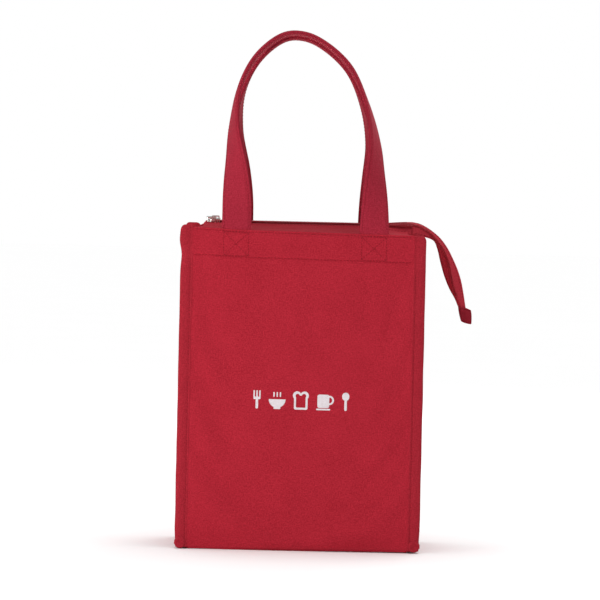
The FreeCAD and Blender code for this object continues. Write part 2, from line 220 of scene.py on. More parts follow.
CANVAS_RED = woven("red_canvas", (0.28, 0.0075, 0.017), (0.476, 0.0205, 0.039), 0.55 * MM, 0.14 * MM)
BINDING_RED = woven("red_binding", (0.25, 0.0075, 0.016), (0.42, 0.020, 0.036), 0.42 * MM, 0.11 * MM, 0.5)
STRAP_RED = woven("red_strap", (0.25, 0.009, 0.021), (0.42, 0.024, 0.048), 0.50 * MM, 0.12 * MM)
TAPE_RED = woven("red_zip_tape", (0.33, 0.016, 0.028), (0.52, 0.036, 0.056), 0.36 * MM, 0.09 * MM, 0.5)
# The end tab's canvas is the same cloth painted darker: painted shade for the dim light low on the tail.
SHADED_TAB_RED = woven("red_tab_canvas_painted_shade", (0.20, 0.006, 0.015), (0.33, 0.018, 0.032), 0.55 * MM, 0.14 * MM)


def thread_finish():
    """Twisted sewing thread: slanting plies, a little darker than the cloth."""
    thread = Finish("red_thread", specular_ior_level=0.12)
    along, across = thread.cloth_place()[1:]
    ply = thread.wave(along * (2 * math.pi / (0.5 * MM)) + across * 2.0) * 0.5 + 0.5
    colour = thread.shades(ply, (0.15, 0.002, 0.007), (0.25, 0.006, 0.014))
    return thread.finish(colour, 0.6, thread.bump(ply, 0.06 * MM, 0.6))


def nylon_finish():
    """Dyed nylon filament, smooth and slightly glossy."""
    nylon = Finish("red_nylon", specular_ior_level=0.3)
    spot = nylon.solid_place()
    tint = nylon.cloud(spot, 300)
    colour = nylon.shades(tint, (0.36, 0.013, 0.025), (0.52, 0.026, 0.042))
    rough = nylon.clamp(0.32 + tint * 0.2)
    return nylon.finish(colour, rough, nylon.bump(tint, 0.05 * MM, 0.3))


def nickel_finish():
    """Plated zinc casting: bright, with fine scratches, worn darker in blotches."""
    nickel = Finish("nickel_plate", metallic=1.0)
    spot = nickel.solid_place()
    stretched = nickel.add("ShaderNodeMapping", {}, {"Vector": spot, "Scale": (250, 2600, 2600)})
    scratch = nickel.cloud(stretched, 1.0, 2.0)
    tarnish = nickel.cloud(spot, 420, 3.0)
    colour = nickel.shades(tarnish, (0.62, 0.62, 0.58), (0.90, 0.90, 0.86))
    rough = nickel.clamp(0.16 + scratch * 0.16 + tarnish * 0.1)
    return nickel.finish(colour, rough, nickel.bump(scratch, 0.03 * MM, 0.4))


def foil_finish():
    """Aluminised film on a thin backing: crumpled, with an embossed square quilting."""
    foil = Finish("foil_lining", metallic=0.75, specular_ior_level=0.6)
    place, along, across = foil.cloth_place()
    cracks = {"feature": "DISTANCE_TO_EDGE"}
    crease = foil.add("ShaderNodeTexVoronoi", cracks, {"Vector": place, "Scale": 55.0})
    crumple = foil.cloud(place, 60, 5.0, 0.65)
    turn = math.pi / (8 * MM)
    quilt = foil.size(foil.wave(along * turn)) * foil.size(foil.wave(across * turn))
    colour = foil.shades(crumple, (0.60, 0.61, 0.63), (0.83, 0.84, 0.86))
    rough = foil.clamp(0.22 + crumple * 0.3)
    big = foil.bump(crumple + foil.clamp(crease * 3.0) * 0.5, 1.2 * MM, 0.7)
    return foil.finish(colour, rough, foil.bump(quilt ** 0.4, 0.3 * MM, 0.6, big))


def foam_finish():
    """White closed-cell foam with visible cells."""
    foam = Finish("white_foam")
    spot = foam.solid_place()
    cell = foam.add("ShaderNodeTexVoronoi", {}, {"Vector": spot, "Scale": 900.0})
    colour = foam.shades(foam.clamp(cell), (0.78, 0.78, 0.76), (0.90, 0.90, 0.88))
    return foam.finish(colour, 0.85, foam.bump(cell, 0.2 * MM, 0.5))


def print_finish():
    """White screen print: the weave shows through, and the ink is thin in places."""
    ink = Finish("white_ink", specular_ior_level=0.3)
    place, along, across = ink.cloth_place()
    turn = math.pi / (0.55 * MM)
    grid = ink.size(ink.wave(along * turn)) * ink.size(ink.wave(across * turn))
    thin = ink.cloud(place, 500, 3.0, 0.7)
    colour = ink.shades(ink.clamp(thin * 0.9 + grid * 0.4 - 0.1), (0.56, 0.45, 0.48), (0.83, 0.82, 0.84))
    return ink.finish(colour, 0.65, ink.bump(grid + thin * 0.5, 0.08 * MM, 0.6))


THREAD_RED = thread_finish()
NYLON_RED = nylon_finish()
NICKEL = nickel_finish()
FOIL_SILVER = foil_finish()
FOAM_WHITE = foam_finish()
INK_WHITE = print_finish()


# ---------------------------------------------------------------- mesh making


def piece_from(name, points, faces, places, material, slot=None):
    """One object from points, faces and each point's place on the cloth, in metres."""
    data = bpy.data.meshes.new(name)
    data.from_pydata([tuple(p) for p in points], [], faces)
    layer = data.uv_layers.new(name="cloth")
    for loop in data.loops:
        layer.data[loop.index].uv = places[loop.vertex_index]
    data.materials.append(material)
    shape = bmesh.new()
    shape.from_mesh(data)
    bmesh.ops.recalc_face_normals(shape, faces=shape.faces)
    shape.to_mesh(data)
    shape.free()
    data.shade_smooth()
    piece = bpy.data.objects.new(name, data)
    scene.collection.objects.link(piece)
    return piece


def grid_faces(rows, columns, first=0, flip=False, wrap=False):
    """Quads over a grid of points that starts at an index."""
    faces = []
    for i in range(rows - 1):
        for j in range(columns if wrap else columns - 1):
            k = (j + 1) % columns
            a = first + i * columns
            quad = (a + j, a + k, a + columns + k, a + columns + j)
            faces.append(quad[::-1] if flip else quad)
    return faces


def closed_sheet_faces(rows, columns):
    """Faces of two equal grids, one after the other, joined round their rims."""
    back = rows * columns
    faces = grid_faces(rows, columns) + grid_faces(rows, columns, back, flip=True)
    ring = [j for j in range(columns)]
    ring += [i * columns + columns - 1 for i in range(1, rows)]
    ring += [(rows - 1) * columns + j for j in range(columns - 2, -1, -1)]
    ring += [i * columns for i in range(rows - 2, 0, -1)]
    for a, b in zip(ring, ring[1:] + ring[:1]):
        faces.append((a, back + a, back + b, b))
    return faces


def tube_faces(rings, sides, first=0):
    """Faces round a row of rings, with both ends closed."""
    last = first + (rings - 1) * sides
    faces = grid_faces(rings, sides, first, wrap=True)
    faces.append(tuple(first + k for k in range(sides)))
    faces.append(tuple(last + k for k in range(sides)))
    return faces


def row_normals(rows):
    """The upward direction at each point of a grid, from its neighbours."""
    found = []
    last_row, last = len(rows) - 1, len(rows[0]) - 1
    for i, row in enumerate(rows):
        line = []
        for j in range(last + 1):
            across = row[min(j + 1, last)] - row[max(j - 1, 0)]
            along = rows[min(i + 1, last_row)][j] - rows[max(i - 1, 0)][j]
            line.append(across.cross(along).normalized())
        found.append(line)
    return found


def ply(name, rows, thickness, material, slot, edge=0.35):
    """A sheet with a real thickness and softly rounded rims. The rows of points are its upper face."""
    normals = row_normals(rows)
    count, width = len(rows), len(rows[0])
    points, places = [], []
    run = [0.0]
    middle = width // 2
    for i in range(1, count):
        run.append(run[-1] + (rows[i][middle] - rows[i - 1][middle]).length)
    for layer in (0.0, 1.0):
        for i in range(count):
            across = 0.0
            for j in range(width):
                if j:
                    across += (rows[i][j] - rows[i][j - 1]).length
                rim = i in (0, count - 1) or j in (0, width - 1)
                inset = edge * (0.5 - layer) if rim else 0.0
                points.append(rows[i][j] - normals[i][j] * thickness * (layer + inset))
                places.append((across, run[i]))
    return piece_from(name, points, closed_sheet_faces(count, width), places, material, slot)


def swept(name, frames, section, material, slot):
    """A closed section carried along frames of (centre, width direction, thickness direction)."""
    points, places = [], []
    run = 0.0
    for i, (centre, wide, thick) in enumerate(frames):
        if i:
            run += (centre - frames[i - 1][0]).length
        loop = section(i)
        for w, t in loop:
            points.append(centre + wide * w + thick * t)
            places.append((w + (60 * MM if t < 0 else 0), run))
    faces = tube_faces(len(frames), len(section(0)))
    return piece_from(name, points, faces, places, material, slot)


def sewn_in(piece, *nodes):
    """A piece that stays with the bag's body and stands for its CAD nodes."""
    if nodes:
        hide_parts(*nodes)
    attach(piece, "bag")
    return piece


def flat_section(half, thick, count, bow=0.0, squareness=6, inner=None, lip=0.0, groove=0.0):
    """A flat strip's section as (across, up) pairs all the way round.

    thick gives half its thickness at a place across it,
    inner is the squareness of its low side, lip how thick its edges stay, and groove how deep the gap
    between two folded lips is.
    """
    upper = []
    for i in range(count + 1):
        w = half * math.sin(math.pi / 2 * (2 * i / count - 1))
        power = inner if inner and w < 0 else squareness
        rounding = max(lip, max(0.0, 1 - abs(w / half) ** power) ** 0.5)
        upper.append((w, thick(w) * rounding, bow * (1 - (w / half) ** 2)))
    top = [(w, t + b) for w, t, b in upper]
    bottom = [(w, -t + b) for w, t, b in upper]
    if lip:
        return top + [(half - groove, 0.0)] + bottom[::-1] + [(groove - half, 0.0)]
    return top + bottom[1:-1][::-1]


def through(points, count):
    """A smooth line through a few points, as evenly placed points."""
    points = [Vector(p) for p in points]
    line = [points[0] * 2 - points[1]] + points + [points[-1] * 2 - points[-2]]
    dense = []
    for a, b, c, d in zip(line, line[1:], line[2:], line[3:]):
        knots = [0.0]
        for p, q in ((a, b), (b, c), (c, d)):
            knots.append(knots[-1] + max((q - p).length, 1e-9) ** 0.5)
        t0, t1, t2, t3 = knots
        for i in range(24):
            t = t1 + (t2 - t1) * i / 24
            ab = a.lerp(b, (t - t0) / (t1 - t0))
            bc = b.lerp(c, (t - t1) / (t2 - t1))
            cd = c.lerp(d, (t - t2) / (t3 - t2))
            abc = ab.lerp(bc, (t - t0) / (t2 - t0))
            bcd = bc.lerp(cd, (t - t1) / (t3 - t1))
            dense.append(abc.lerp(bcd, (t - t1) / (t2 - t1)))
    dense.append(points[-1])
    return evenly(dense, count)


def evenly(line, count):
    """Points at equal steps along a dense line."""
    run = [0.0]
    for a, b in zip(line, line[1:]):
        run.append(run[-1] + (b - a).length)
    found, k = [], 0
    for i in range(count):
        want = run[-1] * i / (count - 1)
        while k < len(run) - 2 and run[k + 1] < want:
            k += 1
        found.append(line[k].lerp(line[k + 1], (want - run[k]) / max(run[k + 1] - run[k], 1e-9)))
    return found


class Stitches:
    """Gathers single stitches, each a small pillow of thread that dips into the cloth at its ends."""

    RINGS = ((-1.0, 0.35, -0.5), (-0.7, 0.85, 0.1), (0.0, 1.0, 0.35), (0.7, 0.85, 0.1), (1.0, 0.35, -0.5))

    def __init__(self, length=2.3 * MM, gap=0.8 * MM, radius=0.3 * MM):
        self.length, self.gap, self.radius = length, gap, radius
        self.points, self.faces, self.places = [], [], []

    def one(self, centre, along, up):
        side = along.cross(up).normalized()
        first = len(self.points)
        for place, swell, lift in self.RINGS:
            middle = centre + along * (place * self.length / 2) + up * (lift * self.radius)
            for k in range(6):
                angle = math.pi / 3 * k
                out = side * math.cos(angle) + up * (0.7 * math.sin(angle))
                self.points.append(middle + out * (self.radius * swell))
                self.places.append((place * self.length / 2, angle * self.radius))
        self.faces += tube_faces(len(self.RINGS), 6, first)

    def row(self, line, up):
        """Stitches along a dense line. up gives the outward direction at an index of the line."""
        step = self.length + self.gap
        total = sum((b - a).length for a, b in zip(line, line[1:]))
        count = max(1, round(total / step))
        spots = evenly(line, 2 * count + 1)
        for i in range(count):
            a, centre, b = spots[2 * i : 2 * i + 3]
            nearest = round((2 * i + 1) / (2 * count) * (len(line) - 1))
            outward = up(nearest)
            along = (b - a).normalized()
            wander = 0.06 * MM * ripple(centre.x * 900, centre.z * 900 + centre.y * 700, 3.1)
            self.one(centre + along.cross(outward) * wander, along, outward)

    def piece(self, name, *nodes):
        made = piece_from(name, self.points, self.faces, self.places, THREAD_RED, "thread")
        if nodes:
            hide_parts(*nodes)
        return made


# ---------------------------------------------------------------- walls

# A wall's outward and sideways directions, its distance from the middle, its half width and its seed.
Side = namedtuple("Side", "normal along out half seed")
SIDES = {
    "front": Side(Vector((0, -1, 0)), Vector((1, 0, 0)), HALF_D, HALF_W, 1.7),
    "back": Side(Vector((0, 1, 0)), Vector((-1, 0, 0)), HALF_D, HALF_W, 5.3),
    "left": Side(Vector((-1, 0, 0)), Vector((0, -1, 0)), HALF_W, HALF_D, 9.1),
    "right": Side(Vector((1, 0, 0)), Vector((0, 1, 0)), HALF_W, HALF_D, 13.9),
}
MOST_PROUD = 7 * MM  # a wall never stands further out or in than this


class SettledCloth:
    """A slack wall settled between its seams by cloth simulation, read back as how far it stands out."""

    COLUMNS, ROWS, FRAMES = 40, 60, 26

    def __init__(self, side, push, slack):
        """push is the outward pressure, and slack how much too long the cloth is."""
        self.side = side
        self.rise = []
        for j in range(self.ROWS + 1):
            self.rise.append([self.start(i, j, push) for i in range(self.COLUMNS + 1)])
        self.settle(SIDES[side].half, push, slack)

    def start(self, i, j, push):
        """The slack wall before it settles: a shallow pillow with a little unevenness."""
        share, height = 2 * i / self.COLUMNS - 1, j / self.ROWS
        held = (1 - share * share) * math.sin(math.pi * height)
        return (1.6 * push + 1.2 * ripple(share * 2.6, height * 3.4, SIDES[self.side].seed)) * MM * held

    def settle(self, half, push, slack):
        points = []
        for j in range(self.ROWS + 1):
            for i in range(self.COLUMNS + 1):
                points.append((half * (2 * i / self.COLUMNS - 1), self.rise[j][i], TOP * j / self.ROWS))
        data = bpy.data.meshes.new("slack_" + self.side)
        data.from_pydata(points, [], grid_faces(self.ROWS + 1, self.COLUMNS + 1))
        sheet = bpy.data.objects.new("slack_" + self.side, data)
        scene.collection.objects.link(sheet)
        seams = sheet.vertex_groups.new(name="seams")
        for index in range(len(points)):
            j, i = divmod(index, self.COLUMNS + 1)
            sewn = i in (0, self.COLUMNS) or j in (0, self.ROWS) or TOP * j / self.ROWS > HEM_ROWS[1]
            seams.add([index], 1.0 if sewn else 0.0, "REPLACE")
        cloth = sheet.modifiers.new("settle", "CLOTH")
        cloth.settings.quality = 6
        cloth.settings.mass = 0.3
        cloth.settings.tension_stiffness = 25
        cloth.settings.compression_stiffness = 25
        cloth.settings.shear_stiffness = 8
        cloth.settings.bending_stiffness = 1.5
        cloth.settings.air_damping = 4
        cloth.settings.vertex_group_mass = "seams"
        cloth.settings.shrink_min = -slack
        cloth.settings.use_pressure = True
        cloth.settings.uniform_pressure_force = 0.5 * push
        cloth.collision_settings.use_collision = False
        for frame_number in range(1, self.FRAMES + 1):
            scene.frame_set(frame_number)
        settled = sheet.evaluated_get(bpy.context.evaluated_depsgraph_get()).data
        for index, vertex in enumerate(settled.vertices):
            j, i = divmod(index, self.COLUMNS + 1)
            self.rise[j][i] = min(MOST_PROUD, max(-MOST_PROUD, vertex.co.y))
        bpy.data.objects.remove(sheet)
        bpy.data.meshes.remove(data)
        scene.frame_set(1)

    def at(self, share, height):
        """How far out the wall stands, between the simulated points."""
        x = min(self.COLUMNS - 1e-6, max(0.0, (share + 1) / 2 * self.COLUMNS))
        y = min(self.ROWS - 1e-6, max(0.0, height * self.ROWS))
        i, j = int(x), int(y)
        x, y = x - i, y - j
        low = self.rise[j][i] * (1 - x) + self.rise[j][i + 1] * x
        high = self.rise[j + 1][i] * (1 - x) + self.rise[j + 1][i + 1] * x
        return low * (1 - y) + high * y


settled = {
    "front": SettledCloth("front", 1.2, 0.0036),
    "back": SettledCloth("back", 1.2, 0.0040),
    "left": SettledCloth("left", -0.9, 0.005),
    "right": SettledCloth("right", -0.9, 0.005),
}


def swell(side, share, z):
    """How far a wall stands out of its flat plane. share is -1 to 1 across the wall."""
    height = min(1.0, max(0.0, z / TOP))
    raised = settled[side].at(share, height)
    if side in ("left", "right"):
        raised -= 3.2 * MM * (1 - abs(share)) ** 1.25 * smooth(height * 1.3)
    fold = bell(z - 5.5 * MM, 1.6 * MM) - bell(z - 9.5 * MM, 2 * MM)
    return raised + 0.35 * MM * fold * (1 - share**8)


def hem_relief(z):
    """The doubled hem stands a little proud, and its two rows of stitches pull it in."""
    proud = 0.45 * MM * smooth((z - HEM_ROWS[1]) / (1.2 * MM))
    pull = sum(0.5 * MM * bell(z - row, 0.9 * MM) for row in HEM_ROWS)
    return proud - pull


def on_wall(side, share, z, depth, relief=True):
    """A point of a wall: share across it, height, and depth inwards from its outer face."""
    wall = SIDES[side]
    raised = swell(side, share, z)
    if relief:
        raised += hem_relief(z) * (1 if depth < HEM_IN / 2 else -0.6)
    point = wall.normal * (wall.out - depth + raised) + wall.along * (share * (wall.half - depth))
    return Vector((point.x, point.y, z + mouth_lift(point.x) * smooth(z / TOP) + floor_lift(point.x, z)))


def mouth_lift(x):
    """The mouth slopes, and its left corner is drawn up a little more."""
    return -MOUTH_SLOPE * x + 1.1 * MM * smooth((-x - 55 * MM) / (45 * MM))


def floor_lift(x, z):
    """The soft bottom edge lifts off the floor towards its right end, and a little beside the left ear."""
    near = bell(z, 9 * MM)
    right = 1.0 * MM * smooth((x + 20 * MM) / (110 * MM))
    left = 0.5 * MM * smooth((-x - 60 * MM) / (40 * MM))
    return (right + left) * near


def spaced(count):
    """Shares from -1 to 1, closer together at both ends."""
    return [math.sin(math.pi / 2 * (2 * i / count - 1)) for i in range(count + 1)]


def outer_profile():
    """The cloth's path as (depth, z): under the base edge, up the outside, over the mouth, down inside."""
    low, fine, step, rounding = 3.2 * MM, 31 * MM, 0.55 * MM, 2.6 * MM
    path = [(4.5 * MM, 0.4 * MM), (2.6 * MM, 0.45 * MM), (1.2 * MM, 0.8 * MM), (0.4 * MM, 1.7 * MM)]
    path += [(0.0, low + (TOP - low - fine) * i / 56) for i in range(57)]
    path += [(0.0, TOP - 30.2 * MM + step * i) for i in range(50)]
    for i in range(13):
        angle = math.pi * i / 12
        across = math.copysign(abs(math.cos(angle)) ** 0.75, math.cos(angle))
        path.append((HEM_IN / 2 * (1 - across), TOP - rounding + rounding * math.sin(angle) ** 0.8))
    inside = TOP - 4 * MM
    path += [(HEM_IN, inside + (HEM_LOW - inside) * i / 14) for i in range(15)]
    return path


def wall_cloth(side, nodes):
    """A fabric wall with its hem turned in over the mouth."""
    shares = spaced(56)
    rows = [[on_wall(side, s, z, depth) for s in shares] for depth, z in outer_profile()]
    cloth = sewn_in(ply(side + "_wall_cloth", rows, CLOTH, CANVAS_RED, "canvas"), *nodes)


def wall_layer(side, name, node, low, top, outer, thickness, material, slot):
    """A foam or foil layer that follows its wall."""
    count = 48
    heights = [low + (top - low) * i / count for i in range(count + 1)]
    rows = [[on_wall(side, s, z, outer, relief=False) for s in spaced(36)] for z in heights]
    return sewn_in(ply(name, rows, thickness, material, slot), node), rows


def walls():
    """Each wall from the inside out: foam, foil, and the cloth that turns in over both."""
    for side in SIDES:
        fabric = side + ("_panel" if side in ("front", "back") else "_gusset")
        foam = (side, side + "_foam_layer", side + "_foam", FLOOR_PLY, TOP - 4.2 * MM)
        layer = wall_layer(*foam, CLOTH + 0.1 * MM, FOAM_IN - CLOTH - 0.2 * MM, FOAM_WHITE, "foam")[0]
        foil = (side, side + "_foil_layer", side + "_lining", FLOOR_PLY + 0.6 * MM, TOP - 6 * MM)
        layer, rows = wall_layer(*foil, FOAM_IN, FOIL, FOIL_SILVER, "foil_lining")
        height = (rows[-1][18] - rows[0][18]).length
        wall_cloth(side, [fabric, side + "_hem_band"])


def base():
    """The floor of the bag: cloth, foam and foil, with the cloth's rim turned up a little."""
    shares = spaced(40)

    def layer(name, node, z, inset, thickness, material, slot, belly):
        rows = []
        for t in spaced(24):
            row = []
            for s in shares:
                rim = max(abs(s), abs(t))
                rise = belly * (1 - s * s) * (1 - t * t)
                rise += 0.12 * MM * ripple(s * 4, t * 3, 21.0) * (1 - rim**6)
                x = s * (HALF_W - inset)
                rise += floor_lift(x, 0.0) * smooth((rim - 0.8) / 0.2)
                row.append(Vector((x, t * (HALF_D - inset), z + rise)))
            rows.append(row)
        return sewn_in(ply(name, rows, thickness, material, slot), node)

    cloth = layer("base_cloth", "base_panel", CLOTH, 1.0 * MM, CLOTH, CANVAS_RED, "canvas", 0.0)
    under = FLOOR_PLY - 0.1 * MM
    foam = layer("base_foam_layer", "base_foam", under, 3 * MM, 3 * MM, FOAM_WHITE, "foam", 0.0)
    film = (FOIL, FOIL_SILVER, "foil_lining", 0.6 * MM)
    foil = layer("base_foil_layer", "base_lining", FLOOR_PLY + FOIL, FOAM_IN, *film)


def wall_line(side, start, end, count=120):
    """A line on a wall's outer face between two (metres across, z) points."""
    half = SIDES[side].half
    spots = []
    for i in range(count + 1):
        x = start[0] + (end[0] - start[0]) * i / count
        z = start[1] + (end[1] - start[1]) * i / count
        spots.append(on_wall(side, x / half, z, 0.0))
    return spots


STRAP_SHIFT = sum(c.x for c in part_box("front_strap_ends")) / 2  # the straps stand off the middle by this
LEGS = (STRAP_SHIFT - 64.8 * MM, STRAP_SHIFT + 64.8 * MM)
STRAP_WIDTH = 27.5 * MM
SQUARE_HALF = 11.7 * MM  # of the crossed square over each strap end


def hem_stitches():
    """Two rows round the mouth, and a crossed square over each sewn strap end."""
    for side, wall in SIDES.items():
        rows = Stitches()
        reach = wall.half - (2.5 * MM if side in ("front", "back") else 6 * MM)
        for z in HEM_ROWS:
            rows.row(wall_line(side, (-reach, z), (reach, z)), lambda i: wall.normal)
        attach(rows.piece(side + "_hem_stitches", side + "_hem_thread"), "bag")
    for side in ("front", "back"):
        normal = SIDES[side].normal
        crossed = Stitches(2.0 * MM, 0.7 * MM, 0.27 * MM)
        for leg in LEGS:
            x = leg if side == "front" else -leg
            x0, x1 = x - SQUARE_HALF, x + SQUARE_HALF
            z0, z1 = HEM_ROWS[1] + 0.9 * MM, HEM_ROWS[0] - 0.8 * MM
            runs = [((x0, z0), (x0, z1)), ((x1, z0), (x1, z1)), ((x0, z1), (x1, z1)), ((x0, z0), (x1, z0))]
            runs += [((x0, z0), (x1, z1)), ((x0, z1), (x1, z0))]
            for start, end in runs:
                crossed.row(wall_line(side, start, end, 40), lambda i: normal)
        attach(crossed.piece(side + "_crossed_stitches", side + "_crossed_square_thread"), "bag")


# ---------------------------------------------------------------- bound seams


OVERLAP = 1.0 * MM  # the tape's inner edge lies this far over the panel
STITCH_IN = 2.5 * MM  # from the tape's inner edge to its stitches


def binding_section(reach, half_thick, z, seed):
    """A folded tape's section: blunt on the panel, round at its fold, puckered along its stitches."""
    pucker = 0.10 * ripple(z * 260, seed, 4.0) + 0.10 * math.sin(z / MM * 2.03 + seed)

    def thick(w):
        place = w + reach / 2
        pinch = 0.22 * bell(place - STITCH_IN, 0.8 * MM)
        belly = 0.10 * bell(place - reach * 0.62, 2.4 * MM)
        return half_thick * (0.9 + pucker * 0.5 - pinch + belly)

    return flat_section(reach / 2, thick, 18, squareness=4, inner=26)


def upright_binding(front, left):
    """One bound upright seam, from the ear at the floor to a rounded end above the mouth."""
    node = ("front_" if front else "back_") + ("left_" if left else "right_") + "binding"
    seed = 3.0 * front + 7.0 * left
    out = -1 if left else 1
    face = Vector((0, -1 if front else 1, 0))
    inner = HALF_W - OVERLAP
    reach = 10.95 * MM + OVERLAP
    half_thick = 2.75 * MM
    centre_y = (HALF_D - 2.15 * MM) * (-1 if front else 1)
    proud = {(True, True): 1.8, (False, True): 3.8, (True, False): -0.6, (False, False): -0.2}[front, left]
    crest = TOP + mouth_lift(out * HALF_W) + proud * MM
    dome = 5.5 * MM
    turned_in = 3.8 * MM if left and not front else 0.0
    foot = 1.0 * MM + floor_lift(out * HALF_W, 0.0)
    frames, widths = [], []
    for i in range(170):
        share = i / 169
        z = foot + (crest - foot) * (share if share < 0.9 else 1 - (1 - share) ** 1.6 * 0.1**-0.6)
        head = min(1.0, max(0.0, (z - crest + dome) / dome))
        round_off = max(0.0, 1 - head**2) ** 0.5
        near_foot = smooth((22 * MM - z) / (18 * MM))
        width = reach - 0.7 * MM * near_foot + 0.35 * MM * ripple(z * 38, seed, 8.0)
        if left:
            width += 1.1 * MM * bell(z - TOP + 10 * MM, 8 * MM) - 0.8 * MM * bell(z - TOP + 24 * MM, 9 * MM)
        trim = width * 0.42 * (1 - round_off)
        folded_in = turned_in * smooth((z - TOP + 12 * MM) / (10 * MM)) * round_off
        width += folded_in
        centre = Vector((out * (inner - folded_in + (width - trim) / 2 + trim * 0.25), centre_y, z))
        frames.append((centre, Vector((out, 0, 0)), face))
        widths.append((width - trim, half_thick * (0.2 + 0.8 * round_off), z))
    section = lambda i: binding_section(*widths[i], seed)
    name = node.replace("binding", "bound_seam")
    sewn_in(swept(name, frames, section, BINDING_RED, "binding_tape"), node)
    rows = Stitches(2.0 * MM, 0.9 * MM, 0.26 * MM)
    for sign in (-1, 1):
        line = []
        for (centre, wide, thick), (width, half_t, z) in zip(frames[3:150], widths[3:150]):
            line.append(centre + wide * (STITCH_IN - width / 2) + thick * (sign * half_t * 0.72))
        rows.row(line, lambda i, sign=sign: face * sign)
    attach(rows.piece(node.replace("binding", "seam_stitches")), "bag")
    ear(node.replace("binding", "bound_ear"), out, face)


def ear(name, out, face):
    """The binding rolled round the bottom corner: a puckered button with a spiral on its face."""
    radius = 5.6 * MM
    half = 4.0 * MM
    lift = floor_lift(out * HALF_W, 0.0) * (0.75 if out > 0 else 0.1)
    centre = Vector((out * (HALF_W + 5.7 * MM), face.y * (HALF_D - 2.4 * MM), radius + 0.15 * MM + lift))
    # (distance from the middle, height along the axis), as shares of the radius and of half the thickness
    profile = [(0.02, 0.86), (0.22, 0.92), (0.42, 0.97), (0.6, 1.0), (0.76, 0.98), (0.9, 0.86)]
    profile += [(0.985, 0.6), (1.0, 0.2), (1.0, -0.2), (0.985, -0.6), (0.9, -0.86), (0.7, -1.0)]
    profile += [(0.3, -0.98), (0.02, -0.95)]
    turns = 56
    points, places = [], []
    for r, y in profile:
        for k in range(turns):
            angle = 2 * math.pi * k / turns
            coil = 0.35 * MM * math.cos(2 * math.pi * (r * 2.4) - angle) * (1 if 0.1 < r < 0.93 else 0.2)
            pleat = 0.06 * MM * math.cos(11 * angle + 3 * r) * r + 0.22 * MM * ripple(angle * 2, r * 4, 2.0)
            reach = radius * r + pleat
            side = Vector((out * math.cos(angle), 0, math.sin(angle))) * reach
            points.append(centre + side + face * (half * y + (coil if y > 0 else -coil * 0.4)))
            far = r * radius + half * (1 - y)
            places.append((math.cos(angle) * far, math.sin(angle) * far))
    faces = tube_faces(len(profile), turns)
    sewn_in(piece_from(name, points, faces, places, BINDING_RED, "binding_tape"))


def base_binding(left):
    """The bound seam under one side, between the two ears."""
    node = ("left" if left else "right") + "_base_binding"
    low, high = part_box(node)
    out = -1 if left else 1
    seed = 11.0 + left
    reach = 10.4 * MM
    frames, heights = [], []
    for i in range(70):
        y = (low.y - 3 * MM) + (high.y - low.y + 6 * MM) * i / 69
        middle = 1 - abs(2 * i / 69 - 1) ** 3
        width = reach - 0.4 * MM + 0.3 * MM * ripple(y * 40, seed, 1.0)
        rise = 3.1 * MM + floor_lift(out * HALF_W, 0.0) * 0.6 * (1 - middle)
        centre = Vector((out * (HALF_W - 0.7 * MM + width / 2), y, rise))
        frames.append((centre, Vector((out, 0, 0)), UP))
        heights.append((width, 2.1 * MM, y))
    section = lambda i: binding_section(*heights[i], seed)
    name = node.replace("binding", "bound_seam")
    sewn_in(swept(name, frames, section, BINDING_RED, "binding_tape"), node)


# ---------------------------------------------------------------- straps

FOOT_Z = TOP + 0.5 * MM
STRAP_THICK = 4.5 * MM
STRAP_Y = -(HALF_D - CLOTH - STRAP_THICK / 2)
CROWN_Z = 489.0 * MM
CROWN_Y = -(0.5 * MM + STRAP_WIDTH / 2)
EDGE_ON_Z = 460.0 * MM  # above here a strap has turned edge-on

# Middle of the front strap, seen from the front, in millimetres.
ARCH = [(LEGS[0] / MM, FOOT_Z / MM - 1), (-63.6, 325), (-65.4, 360), (-68.2, 400), (-63, 438), (-46.6, 468.8)]
ARCH += [(-22.4, 487.4), (-3, 488.2), (16.7, 479.4), (40.3, 457.6), (56.5, 423.5), (65, 388), (66.2, 352)]
ARCH += [(LEGS[1] / MM, FOOT_Z / MM - 1)]


def strap_turn(x, z):
    """How far the strap has turned from face-on to edge-on, in radians."""
    start, early = (320 * MM, 1.85) if x < STRAP_SHIFT else (300 * MM, 1.8)
    share = min(1.0, max(0.0, (EDGE_ON_Z - z) / (EDGE_ON_Z - start)))
    return math.pi / 2 * (1 - share**early)


def strap_frames(drop, narrowing):
    """Centre, width direction and thickness direction along a strap, with its sewn ends inside the hem."""
    line = through([(x * MM, 0, z * MM) for x, z in ARCH], 150)
    rise = CROWN_Z - FOOT_Z
    slope = (CROWN_Y - STRAP_Y) / rise
    frames = []
    for i, point in enumerate(line):
        tangent = (line[min(i + 1, 149)] - line[max(i - 1, 0)]).normalized()
        share = (point.z - FOOT_Z) / rise
        x = STRAP_SHIFT + (point.x - STRAP_SHIFT) * (1 - narrowing * share)
        centre = Vector((x, STRAP_Y + slope * rise * share, FOOT_Z + (rise - drop) * share))
        along = Vector((tangent.x, slope * tangent.z, tangent.z)).normalized()
        lean = math.atan(slope) * (1 - share)
        outwards = Vector((0, -math.cos(lean), math.sin(lean)))
        radial = outwards.cross(along).normalized()
        turn = strap_turn(point.x, point.z)
        face = outwards * math.cos(turn) + radial * math.sin(turn)
        face = (face - along * face.dot(along)).normalized()
        frames.append((centre, along.cross(face).normalized(), face))
    ends = []
    for leg, wide in ((LEGS[0], frames[0][1]), (LEGS[1], frames[-1][1])):
        places = [Vector((leg, STRAP_Y - 0.35 * MM, FOOT_Z - (3 + 4.3 * k) * MM)) for k in range(6)]
        ends.append([(place, wide, frames[0][2]) for place in places])
    return ends[0][::-1] + frames + ends[1]


SEAM_OUT = 11.6 * MM  # from a strap's middle to its edge stitching


